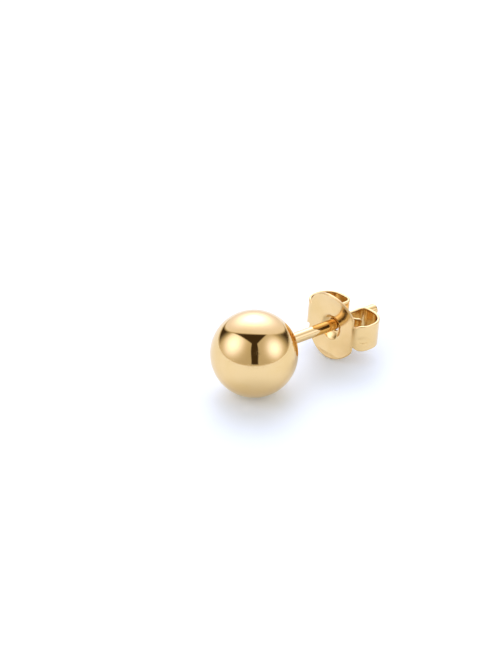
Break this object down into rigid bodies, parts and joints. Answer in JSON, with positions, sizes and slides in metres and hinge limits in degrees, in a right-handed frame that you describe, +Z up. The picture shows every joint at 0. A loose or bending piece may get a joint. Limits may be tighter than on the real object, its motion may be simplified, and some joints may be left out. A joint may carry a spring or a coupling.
{
  "type": "ball stud earring",
  "caption": "Polished yellow gold ball stud with a straight post and a scrolled butterfly back, lying on its side.",
  "frame": {"origin": "middle of the bounding box's underside, on the surface that the stud lies on", "axes": "+Y in plan from the ball to the post's end, +Z up, +X across the scrolls; the post falls 4.69 degrees towards its end"},
  "size_m": [0.006, 0.014, 0.006],
  "materials": {
    "polished_gold": "mirror-polished yellow gold",
    "pressed_gold": "bright pressed yellow gold sheet"
  },
  "bodies": {
    "stud": {"ball_and_post": "polished_gold"},
    "back": {"butterfly_back": "pressed_gold"}
  },
  "joints": [
    {"name": "back_slide", "type": "slide", "parent": "stud", "child": "back", "axis": [0, 0.9967, -0.0818], "range_m": [-0.0039, 0.005]}
  ]
}
